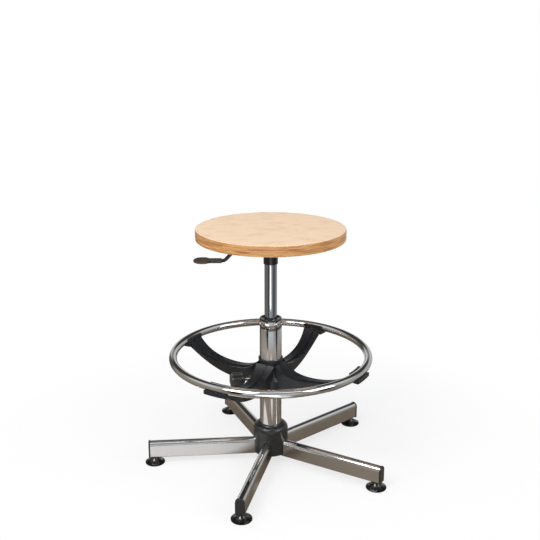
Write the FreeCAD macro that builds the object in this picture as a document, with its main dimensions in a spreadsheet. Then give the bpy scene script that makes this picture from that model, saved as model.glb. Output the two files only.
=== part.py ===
"""Machinist stool: a round plywood seat on a gas lift, five chromed legs on floor glides, and a foot
ring that slides on the stand tube in a four-armed cast carrier.

Millimetres, +Z up. The origin lies on the floor, on the axis of the column. The column is turned work,
so most pieces are profiles of radius and height revolved about that axis. Pieces that repeat round the
column are made once along +X and turned to their places.
"""
import FreeCAD, Part
import Sketcher
import math
import os
import re

App = FreeCAD
doc = App.newDocument("MachinistStool")

# Driving sizes

SIZES = [
    # Seat
    ("seat_height", 555, "top of the seat above the floor, gas lift half out"),
    ("seat_diameter", 330, "round plywood board"),
    ("seat_thickness", 24, "board thickness"),
    ("seat_edge", 3, "rounding of the board's edges"),
    ("plate_side", 160, "square flange under the board"),
    ("plate_corner", 14, "corner rounding of the flange"),
    ("plate_gauge", 2.5, "sheet thickness of the pressed plate"),
    ("box_length", 70, "box of the plate, along the lever"),
    ("box_width", 60, "box of the plate, across the lever"),
    ("box_depth", 28, "box floor below the board"),
    ("box_corner", 5, "upright corners of the box"),
    ("lever_room", 2, "room round the lever in the box's slot"),
    ("screw_inset", 15, "seat screws from the flange's edges"),
    ("wood_screw_diameter", 5, "shank of the seat screws"),
    ("wood_screw_length", 16, "seat screws' length under the head"),
    ("screw_head_height", 3, "pan heads"),
    ("screw_head_rounding", 1.8, "edge of the pan heads"),
    ("socket_diameter", 32, "collar that takes the lift's taper"),
    ("socket_length", 31.5, "collar height"),
    # Height lever
    ("lever_diameter", 8, "cranked rod"),
    ("lever_pivot", 28, "pivot pin from the column axis"),
    ("lever_inner_reach", 6, "rod's end past the column axis"),
    ("lever_straight", 66, "bend of the rod from the column axis"),
    ("lever_drop", 38, "paddle below the pivot"),
    ("lever_run", 36, "run of the rod's sloping part"),
    ("lever_bend", 12, "bending radius of the rod"),
    ("lever_end", 124, "rod's end from the column axis, inside the paddle"),
    ("pin_diameter", 4, "pivot pin"),
    ("pin_head_diameter", 7, "heads of the pivot pin"),
    ("pin_head_height", 1.5, "heads of the pivot pin"),
    ("paddle_start", 108, "paddle's neck from the column axis"),
    ("paddle_reach", 171, "paddle's tip from the column axis"),
    ("paddle_width", 32, "flat of the paddle"),
    ("paddle_thickness", 6, "flat of the paddle"),
    ("paddle_edge", 1.8, "rounding of the flat's edges"),
    ("paddle_waist", 64, "radius of the flat's hollow sides"),
    ("paddle_neck", 10.5, "diameter of the paddle's neck"),
    ("paddle_neck_length", 24, "length of the neck"),
    # Gas lift
    ("lift_diameter", 28, "pressure tube"),
    ("lift_wall", 1.5, "pressure tube's wall"),
    ("lift_bottom", 150, "lower end of the pressure tube"),
    ("lift_taper", 0.8, "radius lost over the tube's tapered top"),
    ("lift_taper_length", 38, "tapered top of the pressure tube"),
    ("lift_rise", 4.5, "lift's top above the box floor"),
    ("pin_rise", 4, "release pin above the lift's top"),
    ("valve_pin_chamfer", 1, "end of the release pin"),
    ("valve_pin_diameter", 6, "release pin"),
    ("valve_pin_length", 58, "release pin"),
    ("valve_length", 112, "valve plug in the lift's top"),
    ("valve_travel", 3.2, "free depth under the release pin"),
    ("valve_shoulder", 2, "valve plug's shoulder below the tube's taper"),
    ("inner_diameter", 22, "inner cylinder"),
    ("inner_wall", 1, "inner cylinder's wall"),
    ("guide_length", 20, "rod guide in the lift's lower end"),
    ("seal_length", 5, "lip seal above the rod guide"),
    ("seal_base", 2, "solid base of the lip seal"),
    ("seal_heel", 3, "outer ring of the lip seal"),
    ("seal_lip", 1.2, "lip of the seal"),
    ("rod_diameter", 10, "piston rod"),
    ("rod_spigot_diameter", 8, "rod's lower end through the bearing"),
    ("rod_bottom", 20, "lower end of the rod"),
    ("piston_bottom", 280, "piston's lower face"),
    ("piston_length", 12, "piston"),
    ("piston_groove", 3, "groove of the piston's seal ring"),
    ("piston_groove_depth", 1.8, "groove of the piston's seal ring"),
    ("piston_ring_section", 1.7, "round section of the seal ring"),
    ("slide_fit", 0.3, "radial clearance of sliding tubes"),
    ("bore_fit", 0.1, "radial clearance of small running and pressed fits"),
    # Stand tube and thrust bearing
    ("stand_diameter", 50, "stand tube"),
    ("stand_wall", 2, "stand tube's wall"),
    ("stand_top", 344, "upper end of the stand tube"),
    ("stand_bottom", 26, "lower end of the stand tube"),
    ("stand_taper", 1.5, "radius lost over the stand tube's tapered foot"),
    ("stand_taper_length", 70, "tapered foot of the stand tube"),
    ("bush_length", 85, "guide bush in the stand tube"),
    ("bush_rim", 4, "bush's rim above the stand tube"),
    ("rim_rounding", 1.2, "outer edge of the rim"),
    ("rim_land", 3, "flat top of the rim"),
    ("bush_dish", 2, "dish in the rim's top"),
    ("bush_waist", 3, "depth of the bush's relieved middle"),
    ("foot_thickness", 4, "floor of the stand tube"),
    ("race_diameter", 26, "bearing races"),
    ("race_thickness", 2, "bearing races"),
    ("ball_diameter", 4, "bearing balls"),
    ("ball_circle", 19, "circle of the balls' centres"),
    ("cage_thickness", 1.2, "ball cage"),
    ("seat_gap", 0.1, "gap between a ball and its race"),
    ("bumper_diameter", 22, "rubber stop on the rod"),
    ("bumper_height", 11, "rubber stop on the rod"),
    ("bumper_bulge", 1, "ends of the rubber stop inside its middle"),
    ("clip_diameter", 16, "clip under the stand tube's floor"),
    ("clip_thickness", 1.5, "clip under the stand tube's floor"),
    ("clip_groove", 1, "depth of the clip's groove in the rod"),
    # Base
    ("hub_diameter", 80, "domed hub cover"),
    ("hub_bottom", 22, "lower edge of the hub cover"),
    ("hub_height", 70, "hub cover"),
    ("hub_dome", 14, "radius of the cover's shoulder"),
    ("hub_wall", 3, "cover's wall"),
    ("core_diameter", 58, "steel sleeve inside the hub"),
    ("core_bottom", 24, "lower end of the steel sleeve"),
    ("core_height", 64, "steel sleeve"),
    ("base_turn", 41.2, "first leg's angle from +X"),
    ("leg_reach", 280, "leg's end from the column axis"),
    ("leg_width", 20, "leg tube"),
    ("leg_height", 38, "leg tube"),
    ("leg_bottom", 17, "underside of the leg tube"),
    ("leg_wall", 1.5, "leg tube's wall"),
    ("leg_corner", 2, "lower corners of the leg tube"),
    ("cap_thickness", 4, "face of the end cap"),
    ("cap_overhang", 0.5, "cap's face past the leg's outline"),
    ("cap_rounding", 1.4, "edge of the cap's face"),
    ("plug_length", 24, "cap's plug inside the leg"),
    ("plug_fit", 0.2, "clearance of the plug in the leg"),
    ("glide_inset", 10, "glide's axis from the leg's end"),
    ("glide_diameter", 45, "floor glide"),
    ("glide_rim", 3, "glide's rim above the floor"),
    ("glide_foot_chamfer", 0.8, "lower edge of the glide"),
    ("glide_curve", 22, "radius of the glide's flared side"),
    ("glide_neck", 13, "neck of the glide"),
    ("glide_neck_height", 14, "upper end of the flared side"),
    ("stem_diameter", 10, "glide's stem"),
    ("stem_length", 20, "stem above the leg's underside"),
    ("rest_gap", 0.3, "gap between pieces that rest on one another"),
    ("margin", 1, "how far cuts and joined blocks run past a face"),
    # Foot ring and its carrier
    ("ring_height", 260, "centre of the ring's tube above the floor"),
    ("ring_diameter", 442, "centre line of the ring"),
    ("ring_tube", 18, "ring's tube"),
    ("ring_wall", 1.5, "ring tube's wall"),
    ("arm_turn", 60, "first arm's angle from +X"),
    ("collar_top", 7, "collar's upper edge below the ring's centre"),
    ("carrier_depth", 75, "carrier's lower face below the ring's centre"),
    ("collar_wall", 2.7, "collar's wall at its upper edge"),
    ("collar_foot_wall", 10, "collar's wall at its lower face"),
    ("collar_curve", 60, "radius of the collar's hollow flare"),
    ("collar_foot_height", 20, "straight foot below the flare"),
    ("collar_edge", 3, "straight edge above the flare"),
    ("arm_valley", 43, "lowest line of the arm's top below the ring's centre"),
    ("arm_rise", 44, "rise of the arm's top to the ring"),
    ("arm_root_rise", 28, "rise of the arm's top to the collar"),
    ("arm_underside_rise", 57, "rise of the arm's underside to the ring"),
    ("arm_width", 34, "arm's top, halfway along"),
    ("arm_end_flare", 14, "extra width at the ring"),
    ("arm_root_flare", 12, "extra width at the collar"),
    ("arm_keel", 20, "arm's underside, halfway along"),
    ("rib_width", 9, "raised rib along the arm's top"),
    ("rib_height", 2.5, "raised rib along the arm's top"),
    ("arm_wall", 4, "walls of the hollow arm"),
    ("saddle_angle", 13, "cradle's length as an angle round the ring"),
    ("saddle_wall", 4, "cradle's inner wall"),
    ("saddle_lip", 3, "cradle's outer lip"),
    ("saddle_floor", 6, "cradle's floor"),
    ("saddle_chamfer", 2, "cradle's lower outer edge"),
    ("saddle_wall_rise", 5, "inner wall above the ring's centre"),
    ("saddle_lip_drop", 5.5, "outer lip below the ring's centre"),
    ("saddle_fit", 0.2, "clearance of the ring in its cradle"),
    ("ring_screw_diameter", 4, "screws that hold the ring"),
    ("ring_screw_length", 9, "screws that hold the ring"),
    ("ring_screw_head", 8, "head of those screws"),
    # Clamp of the carrier
    ("clamp_turn", 195, "clamp's angle from +X"),
    ("clamp_drop", 55, "clamp's axis below the ring's centre"),
    ("boss_diameter", 22, "boss on the collar"),
    ("boss_reach", 48, "boss's face from the column axis"),
    ("pad_diameter", 10, "shoe that bears on the stand tube"),
    ("pad_thickness", 3, "shoe that bears on the stand tube"),
    ("pad_room", 7.7, "depth of the shoe's bore from the collar's bore"),
    ("stud_diameter", 8, "clamp stud"),
    ("stud_chamfer", 1, "clamp stud's tip"),
    ("stud_reach", 82, "stud's end from the column axis, inside the knob"),
    ("insert_diameter", 12, "brass insert in the boss"),
    ("insert_flange", 1.5, "insert's flange on the boss's face"),
    ("insert_flange_width", 2, "insert's flange round its shank"),
    ("knob_start", 62, "knob's near face from the column axis"),
    ("knob_length", 32, "knob"),
    ("knob_diameter", 36, "knob over its lobes"),
    ("knob_flute", 11, "flutes between the lobes"),
    ("flute_circle", 20.4, "flutes' centres from the knob's axis"),
    ("knob_neck", 18, "knob's neck"),
    ("knob_neck_length", 4, "knob's neck"),
    ("knob_rounding", 2.5, "rounding of the knob's end"),
]
LEGS = 5
ARMS = 4
BALLS = 8
KNOB_LOBES = 6
NEAR = 0.01     # how close two lengths must be to count as the same

sheet = doc.addObject("Spreadsheet::Sheet", "sizes")
for row, (name, value, note) in enumerate(SIZES, start=1):
    sheet.set(f"A{row}", name)
    sheet.set(f"B{row}", str(value))
    sheet.setAlias(f"B{row}", name)
    sheet.set(f"C{row}", note)
doc.recompute()
ALIASES = {name for name, _, _ in SIZES}

# Heights and radii that several pieces share, worked out from the driving sizes

SEAT_UNDER = "(seat_height - seat_thickness)"
BOX_FLOOR_UNDER = f"({SEAT_UNDER} - box_depth)"
BOX_FLOOR = f"({BOX_FLOOR_UNDER} + plate_gauge)"
SOCKET_BOTTOM = f"({BOX_FLOOR} - socket_length)"
LIFT_TOP = f"({BOX_FLOOR} + lift_rise)"
TAPER_START = f"({LIFT_TOP} - lift_taper_length)"
PIN_TOP = f"({LIFT_TOP} + pin_rise)"
LEVER_HEIGHT = f"({PIN_TOP} + seat_gap + lever_diameter / 2)"
VALVE_BOTTOM = f"({LIFT_TOP} - valve_length)"
LIFT_BORE = "(lift_diameter / 2 - lift_wall)"
GUIDE_BOTTOM = "(lift_bottom + lift_wall)"
SEAL_BOTTOM = f"({GUIDE_BOTTOM} + guide_length)"
SEAL_TOP = f"({SEAL_BOTTOM} + seal_length)"
STAND_BORE = "(stand_diameter / 2 - stand_wall)"
STAND_TAPER_TOP = "(stand_bottom + stand_taper_length)"
STAND_FOOT_BORE = f"({STAND_BORE} - stand_taper)"
FOOT_TOP = "(stand_bottom + foot_thickness)"
LOWER_RACE_TOP = f"({FOOT_TOP} + race_thickness)"
BALL_HEIGHT = f"({LOWER_RACE_TOP} + seat_gap + ball_diameter / 2)"
UPPER_RACE_BOTTOM = f"({BALL_HEIGHT} + ball_diameter / 2 + seat_gap)"
UPPER_RACE_TOP = f"({UPPER_RACE_BOTTOM} + race_thickness)"
PISTON_TOP = "(piston_bottom + piston_length)"
CLIP_TOP = "(stand_bottom - seat_gap)"
CLIP_BOTTOM = f"({CLIP_TOP} - clip_thickness)"
HUB_TOP = "(hub_bottom + hub_height)"
CORE_TOP = "(core_bottom + core_height)"
LEG_START = "(core_diameter / 2 + rest_gap)"
LEG_ARCH = "(leg_bottom + leg_height - leg_width / 2)"
GLIDE_AT = "(leg_reach - glide_inset)"
COLLAR_BORE = "(stand_diameter / 2 + slide_fit)"
COLLAR_TOP = "(ring_height - collar_top)"
CARRIER_BOTTOM = "(ring_height - carrier_depth)"
RING_RADIUS = "(ring_diameter / 2)"
TROUGH = "(ring_tube / 2 + saddle_fit)"
SADDLE_INSIDE = f"({RING_RADIUS} - {TROUGH} - saddle_wall)"
SADDLE_OUTSIDE = f"({RING_RADIUS} + {TROUGH} + saddle_lip)"
SADDLE_BOTTOM = f"(ring_height - {TROUGH} - saddle_floor)"
CLAMP_HEIGHT = "(ring_height - clamp_drop)"
PAD_FACE = "(stand_diameter / 2 + rest_gap)"
STUD_START = f"({PAD_FACE} + pad_thickness + seat_gap)"


def number(expression):
    """Value of an expression of driving sizes."""
    return float(sheet.evalExpression(expression))


def bound(expression):
    """The same expression, with each size named as a cell of the sheet of sizes."""
    def cell(word):
        return "sizes." + word[0] if word[0] in ALIASES else word[0]
    return re.sub(r"[a-z][a-z_0-9]*", cell, expression)


# Bodies, sketches and features

def new_body(label):
    body = doc.addObject("PartDesign::Body", label)
    body.Label = label
    return body


def origin_item(body, role):
    return next(item for item in body.Origin.OriginFeatures if item.Role == role)


def new_sketch(body, role, name, offset=None, turn=0):
    """Sketch on one of the body's origin planes, moved by an expression along its own normal.

    A turn, in degrees, swings the plane about the column axis first.
    """
    sketch = body.newObject("Sketcher::SketchObject", name)
    sketch.AttachmentSupport = (origin_item(body, role), [""])
    sketch.MapMode = "FlatFace"
    sketch.AttachmentOffset = App.Placement(App.Vector(0, 0, 0), App.Rotation(App.Vector(0, 1, 0), turn))
    if offset:
        swing = math.radians(turn)
        if turn:
            sketch.setExpression("AttachmentOffset.Base.x", bound(f"({offset}) * {math.sin(swing):.9f}"))
        sketch.setExpression("AttachmentOffset.Base.z", bound(f"({offset}) * {math.cos(swing):.9f}"))
    return sketch


def drive(sketch, kind, geometry, point, expression):
    """Hold one coordinate of a point at an expression, measured from the sketch's origin."""
    axis = {"DistanceX": -2, "DistanceY": -1}[kind]
    if expression == "0":
        sketch.addConstraint(Sketcher.Constraint("PointOnObject", geometry, point, axis))
        return
    value = number(expression)
    index = sketch.addConstraint(Sketcher.Constraint(kind, -1, 1, geometry, point, value))
    sketch.setExpression(f"Constraints[{index}]", bound(expression))


def outline(sketch, points):
    """Closed outline through points given as pairs of expressions.

    A third entry (radius, side) makes the edge after that point an arc of that radius, whose centre
    lies to the left (1) or to the right (-1) of the way to the next point.
    """
    places = [App.Vector(number(p[0]), number(p[1]), 0) for p in points]
    first = sketch.GeometryCount
    count = len(points)
    ends = []
    for i, point in enumerate(points):
        a, b = places[i], places[(i + 1) % count]
        if len(point) == 2:
            sketch.addGeometry(Part.LineSegment(a, b))
            ends.append((1, 2))
        else:
            radius, side = number(point[2][0]), point[2][1]
            sketch.addGeometry(arc_between(a, b, radius, side))
            ends.append((1, 2) if side > 0 else (2, 1))
    for i, point in enumerate(points):
        following = (i + 1) % count
        sketch.addConstraint(Sketcher.Constraint("Coincident", first + i, ends[i][1],
                                                 first + following, ends[following][0]))
        if len(point) == 3:
            held = sketch.addConstraint(Sketcher.Constraint("Radius", first + i, number(point[2][0])))
            sketch.setExpression(f"Constraints[{held}]", bound(point[2][0]))
        drive(sketch, "DistanceX", first + i, ends[i][0], point[0])
        drive(sketch, "DistanceY", first + i, ends[i][0], point[1])


def arc_between(a, b, radius, side):
    """Arc of less than half a turn from a to b, its centre on the left (1) or right (-1) of the way."""
    chord = b - a
    left = App.Vector(-chord.y, chord.x, 0).normalize()
    centre = (a + b) * 0.5 + left * math.sqrt(max(radius ** 2 - chord.Length ** 2 / 4, 0)) * side
    start, end = (a, b) if side > 0 else (b, a)
    angles = [math.atan2(point.y - centre.y, point.x - centre.x) for point in (start, end)]
    return Part.ArcOfCircle(Part.Circle(centre, App.Vector(0, 0, 1), radius), *angles)


def circle(sketch, x, y, radius):
    """Circle with its centre and radius held by expressions."""
    centre = App.Vector(number(x), number(y), 0)
    index = sketch.addGeometry(Part.Circle(centre, App.Vector(0, 0, 1), number(radius)))
    drive(sketch, "DistanceX", index, 3, x)
    drive(sketch, "DistanceY", index, 3, y)
    held = sketch.addConstraint(Sketcher.Constraint("Radius", index, number(radius)))
    sketch.setExpression(f"Constraints[{held}]", bound(radius))


def pad(body, sketch, length, name="Pad", midplane=False):
    feature = body.newObject("PartDesign::Pad", name)
    feature.Profile = sketch
    feature.setExpression("Length", bound(length))
    feature.Midplane = midplane
    return feature


def pocket(body, sketch, length, name="Pocket", along_normal=True, midplane=False):
    """Cut along the sketch's normal, or against it, and make sure that it removes something."""
    doc.recompute()
    before = body.Shape.Volume
    feature = body.newObject("PartDesign::Pocket", name)
    feature.Profile = sketch
    feature.Reversed = along_normal
    feature.Midplane = midplane
    feature.setExpression("Length", bound(length))
    doc.recompute()
    if not body.Shape.Volume < before - 1e-6:
        raise ValueError(f"{feature.Label} of {body.Label} removes nothing")
    return feature


def turn_profile(body, points, name="Turned", axis="V_Axis", cut=False):
    """Revolve an outline of (radius, height) about the column axis, or of (reach, radius) about X."""
    sketch = new_sketch(body, "XZ_Plane", name + "Profile")
    outline(sketch, points)
    kind = "PartDesign::Groove" if cut else "PartDesign::Revolution"
    feature = body.newObject(kind, name)
    feature.Profile = sketch
    feature.ReferenceAxis = (sketch, [axis])
    feature.Angle = 360
    return feature


def turned(label, points, axis="V_Axis"):
    body = new_body(label)
    turn_profile(body, points, axis=axis)
    return body


def sleeve(label, bore, outside, bottom, top):
    """Plain ring about the column axis."""
    return turned(label, [(bore, bottom), (outside, bottom), (outside, top), (bore, top)])


def polar(body, originals, axis, count, name="Pattern"):
    feature = body.newObject("PartDesign::PolarPattern", name)
    feature.Originals = originals
    feature.Axis = (origin_item(body, axis), [""])
    feature.Angle = 360
    feature.Occurrences = count
    body.Tip = feature
    doc.recompute()
    return feature


def fillet(body, radius, test, name="Rounding"):
    """Round the edges for which test(edge) holds."""
    doc.recompute()
    base = body.Tip
    names = [f"Edge{i}" for i, edge in enumerate(base.Shape.Edges, start=1) if test(edge)]
    if not names:
        raise ValueError(f"{name} of {body.Label} finds no edge")
    feature = body.newObject("PartDesign::Fillet", name)
    feature.Base = (base, names)
    feature.setExpression("Radius", bound(radius))
    return feature


def is_round(edge, radius):
    """True for a circular edge of this radius."""
    return isinstance(edge.Curve, Part.Circle) and abs(edge.Curve.Radius - radius) < NEAR


def about_column(body, degrees, height=0.0):
    """Turn a piece that was made along +X to its place round the column."""
    body.Placement = App.Placement(App.Vector(0, 0, height), App.Rotation(App.Vector(0, 0, 1), degrees))


def leg_angle(k):
    return number("base_turn") + 360 / LEGS * k


def computed(label, shape):
    """Piece with a shape worked out here: a swept rod, or several equal solids in one group."""
    item = doc.addObject("Part::Feature", label)
    item.Label = label
    item.Shape = shape
    return item


# Seat

def make_seat_board():
    """Round board with softly rounded edges and four blind pilot holes for the screws."""
    body = turned("seat_board", [("0", SEAT_UNDER), ("seat_diameter / 2", SEAT_UNDER),
                                 ("seat_diameter / 2", "seat_height"), ("0", "seat_height")])
    radius = number("seat_diameter / 2")
    fillet(body, "seat_edge", lambda edge: is_round(edge, radius))
    holes = new_sketch(body, "XY_Plane", "PilotHoles", offset=SEAT_UNDER)
    for x, y in screw_places():
        circle(holes, x, y, "wood_screw_diameter / 2 + bore_fit")
    pocket(body, holes, "wood_screw_length + rest_gap", "PilotHolesCut")
    return body


def screw_places():
    """Four corners of the flange, as expressions."""
    place = "(plate_side / 2 - screw_inset)"
    return [(sx + place, sy + place) for sx in ("", "-") for sy in ("", "-")]


def square(sketch, length, width):
    """Rectangle centred on the sketch's origin."""
    x, y = f"({length}) / 2", f"({width}) / 2"
    outline(sketch, [(f"-{x}", f"-{y}"), (x, f"-{y}"), (x, y), (f"-{x}", y)])


def make_seat_plate():
    """Pressed plate: a square flange screwed to the board round a box that holds socket and lever."""
    body = new_body("seat_plate")
    flange = new_sketch(body, "XY_Plane", "Flange", offset=f"{SEAT_UNDER} - plate_gauge")
    square(flange, "plate_side", "plate_side")
    pad(body, flange, "plate_gauge", "FlangePad")
    fillet(body, "plate_corner", lambda edge: edge.BoundBox.ZLength > NEAR, "FlangeCorners")
    box = new_sketch(body, "XY_Plane", "Box", offset=BOX_FLOOR_UNDER)
    square(box, "box_length", "box_width")
    pad(body, box, "box_depth", "BoxPad")
    tall = number("box_depth / 2")
    fillet(body, "box_corner", lambda edge: edge.BoundBox.ZLength > tall, "BoxCorners")
    inside = new_sketch(body, "XY_Plane", "BoxInside", offset=BOX_FLOOR)
    square(inside, "box_length - 2 * plate_gauge", "box_width - 2 * plate_gauge")
    pocket(body, inside, "box_depth", "BoxHollow")
    holes = new_sketch(body, "XY_Plane", "Holes", offset=BOX_FLOOR_UNDER)
    circle(holes, "0", "0", "socket_diameter / 2 + bore_fit")
    pocket(body, holes, "plate_gauge", "SocketHole")
    screws = new_sketch(body, "XY_Plane", "ScrewHoles", offset=f"{SEAT_UNDER} - plate_gauge")
    for x, y in screw_places():
        circle(screws, x, y, "wood_screw_diameter / 2 + bore_fit")
    pocket(body, screws, "plate_gauge", "ScrewHolesCut")
    pin = new_sketch(body, "XZ_Plane", "PinHoles")
    circle(pin, "-lever_pivot", LEVER_HEIGHT, "pin_diameter / 2 + bore_fit")
    pocket(body, pin, "box_width + 2 * margin", "PinHolesCut", midplane=True)
    slot = new_sketch(body, "YZ_Plane", "LeverSlot", offset="-box_length / 2 - margin")
    half = "lever_diameter / 2 + lever_room"
    low = f"{LEVER_HEIGHT} - lever_diameter / 2 - lever_room"
    high = f"{SEAT_UNDER} - plate_gauge - rest_gap"
    outline(slot, [(f"-({half})", low), (half, low), (half, high), (f"-({half})", high)])
    pocket(body, slot, "plate_gauge + 2 * margin", "LeverSlotCut")
    return body


def make_cone_socket():
    """Collar under the plate, bored to the taper of the lift's top."""
    def bore_at(height):
        narrowing = f"lift_taper * ({height} - {TAPER_START}) / lift_taper_length"
        return f"(lift_diameter / 2 - {narrowing} + bore_fit)"
    return turned("cone_socket", [(bore_at(SOCKET_BOTTOM), SOCKET_BOTTOM),
                                  ("socket_diameter / 2", SOCKET_BOTTOM),
                                  ("socket_diameter / 2", BOX_FLOOR),
                                  (bore_at(BOX_FLOOR), BOX_FLOOR)])


def screw_solid(shank_radius, length, head_radius, head_height):
    """Screw that points up +Z, its head's upper face at the origin, with a domed head."""
    shank = Part.makeCylinder(shank_radius, length)
    head = Part.makeCylinder(head_radius, head_height, App.Vector(0, 0, -head_height))
    lower = [edge for edge in head.Edges if is_round(edge, head_radius) and edge.BoundBox.ZMax < -NEAR]
    head = head.makeFillet(number("screw_head_rounding"), lower)
    return shank.fuse(head).removeSplitter()


def make_seat_screws():
    screw = screw_solid(number("wood_screw_diameter / 2"), number("wood_screw_length + plate_gauge"),
                        number("wood_screw_diameter"), number("screw_head_height"))
    height = number(f"{SEAT_UNDER} - plate_gauge")
    solids = []
    for x, y in screw_places():
        copy = screw.copy()
        copy.translate(App.Vector(number(x), number(y), height))
        solids.append(copy)
    return computed("seat_screws", Part.makeCompound(solids))


# Height lever

def make_lever_pin():
    """Headed pin across the box. It is turned about Z, then laid along Y."""
    half = "(box_width / 2 + rest_gap)"
    outer = f"({half} + pin_head_height)"
    shank, head = "pin_diameter / 2", "pin_head_diameter / 2"
    body = turned("lever_pin", [("0", f"-{outer}"), (head, f"-{outer}"),
                                (head, f"-{half}"), (shank, f"-{half}"),
                                (shank, half), (head, half), (head, outer), ("0", outer)])
    body.Placement = App.Placement(App.Vector(-number("lever_pivot"), 0, number(LEVER_HEIGHT)),
                                   App.Rotation(App.Vector(1, 0, 0), 90))
    return body


def bent_path(points, radius):
    """Wire through points with a tangent arc of one radius at each inner point."""
    edges, start = [], points[0]
    for before, corner, after in zip(points, points[1:], points[2:]):
        to_back, to_front = (before - corner).normalize(), (after - corner).normalize()
        half_turn = (math.pi - to_back.getAngle(to_front)) / 2
        cut = radius * math.tan(half_turn)
        bisector = (to_back + to_front).normalize()
        centre = corner + bisector * (radius / math.cos(half_turn))
        first, last = corner + to_back * cut, corner + to_front * cut
        edges.append(Part.LineSegment(start, first).toShape())
        edges.append(Part.Arc(first, centre - bisector * radius, last).toShape())
        start = last
    edges.append(Part.LineSegment(start, points[-1]).toShape())
    return Part.Wire(edges)


def make_lever_rod():
    """Cranked rod with a cross tube that turns on the pin."""
    height, low = number(LEVER_HEIGHT), number(f"{LEVER_HEIGHT} - lever_drop")
    radius = number("lever_diameter / 2")
    straight = number("lever_straight")
    points = [App.Vector(number("lever_inner_reach"), 0, height), App.Vector(-straight, 0, height),
              App.Vector(-straight - number("lever_run"), 0, low),
              App.Vector(-number("lever_end"), 0, low)]
    path = bent_path(points, number("lever_bend"))
    section = Part.Wire(Part.Circle(points[0], App.Vector(1, 0, 0), radius).toShape())
    rod = path.makePipeShell([section], True, False)
    reach = number("box_width / 2 - plate_gauge - rest_gap")
    pivot = App.Vector(-number("lever_pivot"), -reach, height)
    tube = Part.makeCylinder(radius, 2 * reach, pivot, App.Vector(0, 1, 0))
    bore = Part.makeCylinder(number("pin_diameter / 2 + bore_fit"), 2 * reach, pivot, App.Vector(0, 1, 0))
    return computed("lever_rod", rod.fuse(tube).cut(bore).removeSplitter())


def make_lever_paddle():
    """Flat oval paddle with hollow sides that run into a round neck over the rod's end."""
    body = new_body("lever_paddle")
    height = f"({LEVER_HEIGHT} - lever_drop)"
    flat = new_sketch(body, "XY_Plane", "Flat", offset=f"{height} - paddle_thickness / 2")
    half, neck = "paddle_width / 2", "paddle_neck / 2"
    oval = f"-(paddle_reach - {half})"
    neck_end = "-(paddle_start + paddle_neck_length)"
    inside = "-(paddle_start + paddle_neck_length / 2)"
    outline(flat, [(inside, f"-{neck}"), (inside, neck),
                   (neck_end, neck, ("paddle_waist", -1)), (oval, half, (half, 1)),
                   ("-paddle_reach", "0", (half, 1)), (oval, f"-{half}", ("paddle_waist", -1)),
                   (neck_end, f"-{neck}")])
    pad(body, flat, "paddle_thickness", "FlatPad")
    fillet(body, "paddle_edge", lambda edge: edge.BoundBox.ZLength < NEAR < edge.BoundBox.XLength,
           "FlatEdges")
    collar = new_sketch(body, "YZ_Plane", "Neck", offset=neck_end)
    circle(collar, "0", height, neck)
    pad(body, collar, "paddle_neck_length", "NeckPad")
    bore = new_sketch(body, "YZ_Plane", "Bore", offset="-lever_end - rest_gap")
    circle(bore, "0", height, "lever_diameter / 2 + bore_fit")
    pocket(body, bore, "lever_end", "BoreCut")
    return body


# Gas lift

def make_pressure_tube():
    """Drawn tube with a tapered top and a lower end that is rolled in under the rod guide."""
    outside, bore = "lift_diameter / 2", LIFT_BORE
    lip = "rod_diameter / 2 + lift_wall * 2"
    return turned("pressure_tube", [(lip, "lift_bottom"), (outside, "lift_bottom"), (outside, TAPER_START),
                                    (f"{outside} - lift_taper", LIFT_TOP), (f"{bore} - lift_taper", LIFT_TOP),
                                    (bore, TAPER_START), (bore, GUIDE_BOTTOM), (lip, GUIDE_BOTTOM)])


def make_valve_body():
    """Stepped plug with a bore for the release pin."""
    wide, narrow = f"{LIFT_BORE} - bore_fit", f"{LIFT_BORE} - lift_taper - bore_fit"
    bore = "valve_pin_diameter / 2 + bore_fit"
    bore_floor = f"{PIN_TOP} - valve_pin_length - valve_travel - rest_gap"
    shoulder = f"{TAPER_START} - valve_shoulder"
    return turned("valve_body", [("0", VALVE_BOTTOM), (wide, VALVE_BOTTOM), (wide, shoulder),
                                 (narrow, shoulder), (narrow, LIFT_TOP), (bore, LIFT_TOP),
                                 (bore, bore_floor), ("0", bore_floor)])


def make_valve_pin():
    radius, bottom = "valve_pin_diameter / 2", f"{PIN_TOP} - valve_pin_length"
    return turned("valve_pin", [("0", bottom), (radius, bottom), (radius, f"{PIN_TOP} - valve_pin_chamfer"),
                                (f"{radius} - valve_pin_chamfer", PIN_TOP), ("0", PIN_TOP)])


def make_inner_cylinder():
    return sleeve("inner_cylinder", "inner_diameter / 2 - inner_wall", "inner_diameter / 2",
                  SEAL_TOP, VALVE_BOTTOM)


def make_rod_guide():
    return sleeve("rod_guide", "rod_diameter / 2 + bore_fit", f"{LIFT_BORE} - bore_fit",
                  GUIDE_BOTTOM, SEAL_BOTTOM)


def make_rod_seal():
    """Lip seal: a ring with an undercut round its lip."""
    bore, outside = "rod_diameter / 2 + bore_fit", f"{LIFT_BORE} - bore_fit"
    heel, base = f"{outside} - seal_heel", f"{SEAL_BOTTOM} + seal_base"
    return turned("rod_seal", [(bore, SEAL_BOTTOM), (outside, SEAL_BOTTOM), (outside, SEAL_TOP),
                               (heel, SEAL_TOP), (heel, base), (f"{bore} + seal_lip", base),
                               (bore, f"{SEAL_TOP} - seal_lip / 2")])


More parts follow.
